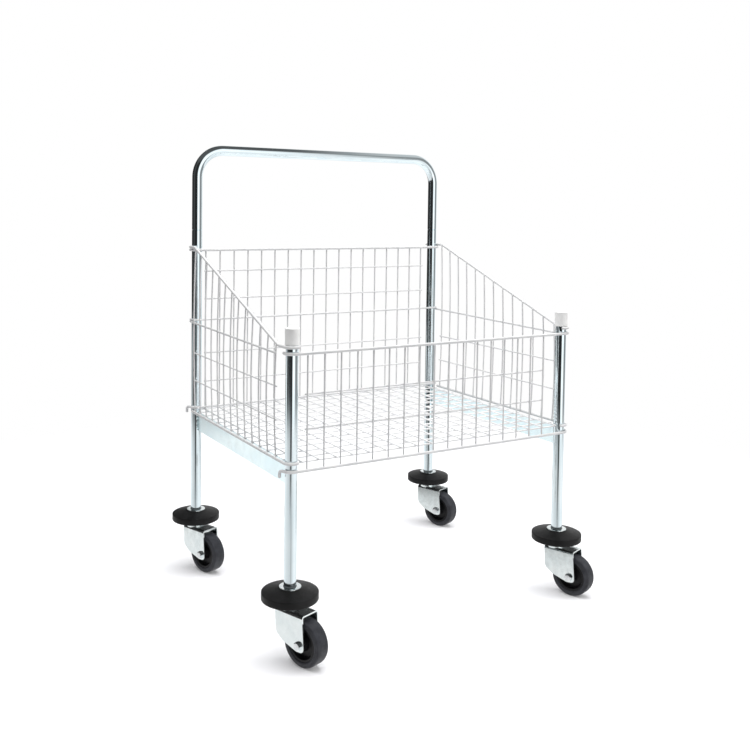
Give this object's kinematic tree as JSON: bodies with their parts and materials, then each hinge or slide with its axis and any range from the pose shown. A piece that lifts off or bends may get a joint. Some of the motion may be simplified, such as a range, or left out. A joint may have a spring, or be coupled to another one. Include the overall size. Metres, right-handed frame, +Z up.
{
  "type": "wire basket cart",
  "caption": "Wire basket cart with zinc tube posts, a sloping open-front mesh basket, a hoop push handle and swivel castors under round rubber buffer discs.",
  "frame": {"origin": "on the floor, midway between the four posts", "axes": "+Z up, +X to the right seen from the low front of the basket, +Y towards the push handle"},
  "size_m": [0.71, 0.5882, 0.91],
  "materials": {
    "tube_zinc": "bright zinc plate, polished, faint drawing lines",
    "rail_zinc": "clear blue passivated zinc, cloudy",
    "castor_zinc": "bright zinc plated pressing",
    "coated_wire": "glossy white powder coat",
    "cap_plastic": "satin moulded plastic",
    "socket_plastic": "moulded nylon",
    "plain_steel": "plain steel",
    "buffer_rubber": "matt moulded rubber",
    "hub_plastic": "moulded plastic",
    "tread_rubber": "dark grey rubber"
  },
  "bodies": {
    "frame": {"front_left_post": "tube_zinc", "front_right_post": "tube_zinc", "rear_left_post": "tube_zinc", "rear_right_post": "tube_zinc", "left_shelf_rail": "rail_zinc", "right_shelf_rail": "rail_zinc", "handle_hoop": "tube_zinc", "handle_spigots": "plain_steel", "front_left_cap": "cap_plastic", "front_right_cap": "cap_plastic", "floor_grid": "coated_wire", "front_panel": "coated_wire", "back_panel": "coated_wire", "left_side_panel": "coated_wire", "right_side_panel": "coated_wire", "stem_sockets": "socket_plastic", "castor_stems": "plain_steel", "upper_races": "plain_steel", "buffer_washers": "castor_zinc"},
    "front_left_buffer_disc": {"front_left_buffer": "buffer_rubber"},
    "front_left_castor": {"front_left_fork": "castor_zinc", "front_left_balls": "plain_steel", "front_left_axle_bolt": "castor_zinc", "front_left_axle_nut": "castor_zinc", "front_left_axle_bush": "plain_steel"},
    "front_left_wheel": {"front_left_hub": "hub_plastic", "front_left_tread": "tread_rubber"},
    "front_right_buffer_disc": {"front_right_buffer": "buffer_rubber"},
    "front_right_castor": {"front_right_fork": "castor_zinc", "front_right_balls": "plain_steel", "front_right_axle_bolt": "castor_zinc", "front_right_axle_nut": "castor_zinc", "front_right_axle_bush": "plain_steel"},
    "front_right_wheel": {"front_right_hub": "hub_plastic", "front_right_tread": "tread_rubber"},
    "rear_left_buffer_disc": {"rear_left_buffer": "buffer_rubber"},
    "rear_left_castor": {"rear_left_fork": "castor_zinc", "rear_left_balls": "plain_steel", "rear_left_axle_bolt": "castor_zinc", "rear_left_axle_nut": "castor_zinc", "rear_left_axle_bush": "plain_steel"},
    "rear_left_wheel": {"rear_left_hub": "hub_plastic", "rear_left_tread": "tread_rubber"},
    "rear_right_buffer_disc": {"rear_right_buffer": "buffer_rubber"},
    "rear_right_castor": {"rear_right_fork": "castor_zinc", "rear_right_balls": "plain_steel", "rear_right_axle_bolt": "castor_zinc", "rear_right_axle_nut": "castor_zinc", "rear_right_axle_bush": "plain_steel"},
    "rear_right_wheel": {"rear_right_hub": "hub_plastic", "rear_right_tread": "tread_rubber"}
  },
  "joints": [
    {"name": "front_left_swivel", "type": "hinge", "parent": "frame", "child": "front_left_castor", "pos_m": [-0.305, -0.23, 0.094], "axis": [0, 0, 1], "continuous": true},
    {"name": "front_left_wheel_spin", "type": "hinge", "parent": "front_left_castor", "child": "front_left_wheel", "pos_m": [-0.29166, -0.26665, 0.04], "axis": [0.9397, 0.342, 0], "continuous": true},
    {"name": "front_left_buffer_spin", "type": "hinge", "parent": "frame", "child": "front_left_buffer_disc", "pos_m": [-0.305, -0.23, 0.116], "axis": [0, 0, 1], "continuous": true},
    {"name": "front_right_swivel", "type": "hinge", "parent": "frame", "child": "front_right_castor", "pos_m": [0.305, -0.23, 0.094], "axis": [0, 0, 1], "continuous": true},
    {"name": "front_right_wheel_spin", "type": "hinge", "parent": "front_right_castor", "child": "front_right_wheel", "pos_m": [0.31834, -0.26665, 0.04], "axis": [0.9397, 0.342, 0], "continuous": true},
    {"name": "front_right_buffer_spin", "type": "hinge", "parent": "frame", "child": "front_right_buffer_disc", "pos_m": [0.305, -0.23, 0.116], "axis": [0, 0, 1], "continuous": true},
    {"name": "rear_left_swivel", "type": "hinge", "parent": "frame", "child": "rear_left_castor", "pos_m": [-0.305, 0.23, 0.094], "axis": [0, 0, 1], "continuous": true},
    {"name": "rear_left_wheel_spin", "type": "hinge", "parent": "rear_left_castor", "child": "rear_left_wheel", "pos_m": [-0.29166, 0.19335, 0.04], "axis": [0.9397, 0.342, 0], "continuous": true},
    {"name": "rear_left_buffer_spin", "type": "hinge", "parent": "frame", "child": "rear_left_buffer_disc", "pos_m": [-0.305, 0.23, 0.116], "axis": [0, 0, 1], "continuous": true},
    {"name": "rear_right_swivel", "type": "hinge", "parent": "frame", "child": "rear_right_castor", "pos_m": [0.305, 0.23, 0.094], "axis": [0, 0, 1], "continuous": true},
    {"name": "rear_right_wheel_spin", "type": "hinge", "parent": "rear_right_castor", "child": "rear_right_wheel", "pos_m": [0.31834, 0.19335, 0.04], "axis": [0.9397, 0.342, 0], "continuous": true},
    {"name": "rear_right_buffer_spin", "type": "hinge", "parent": "frame", "child": "rear_right_buffer_disc", "pos_m": [0.305, 0.23, 0.116], "axis": [0, 0, 1], "continuous": true}
  ]
}
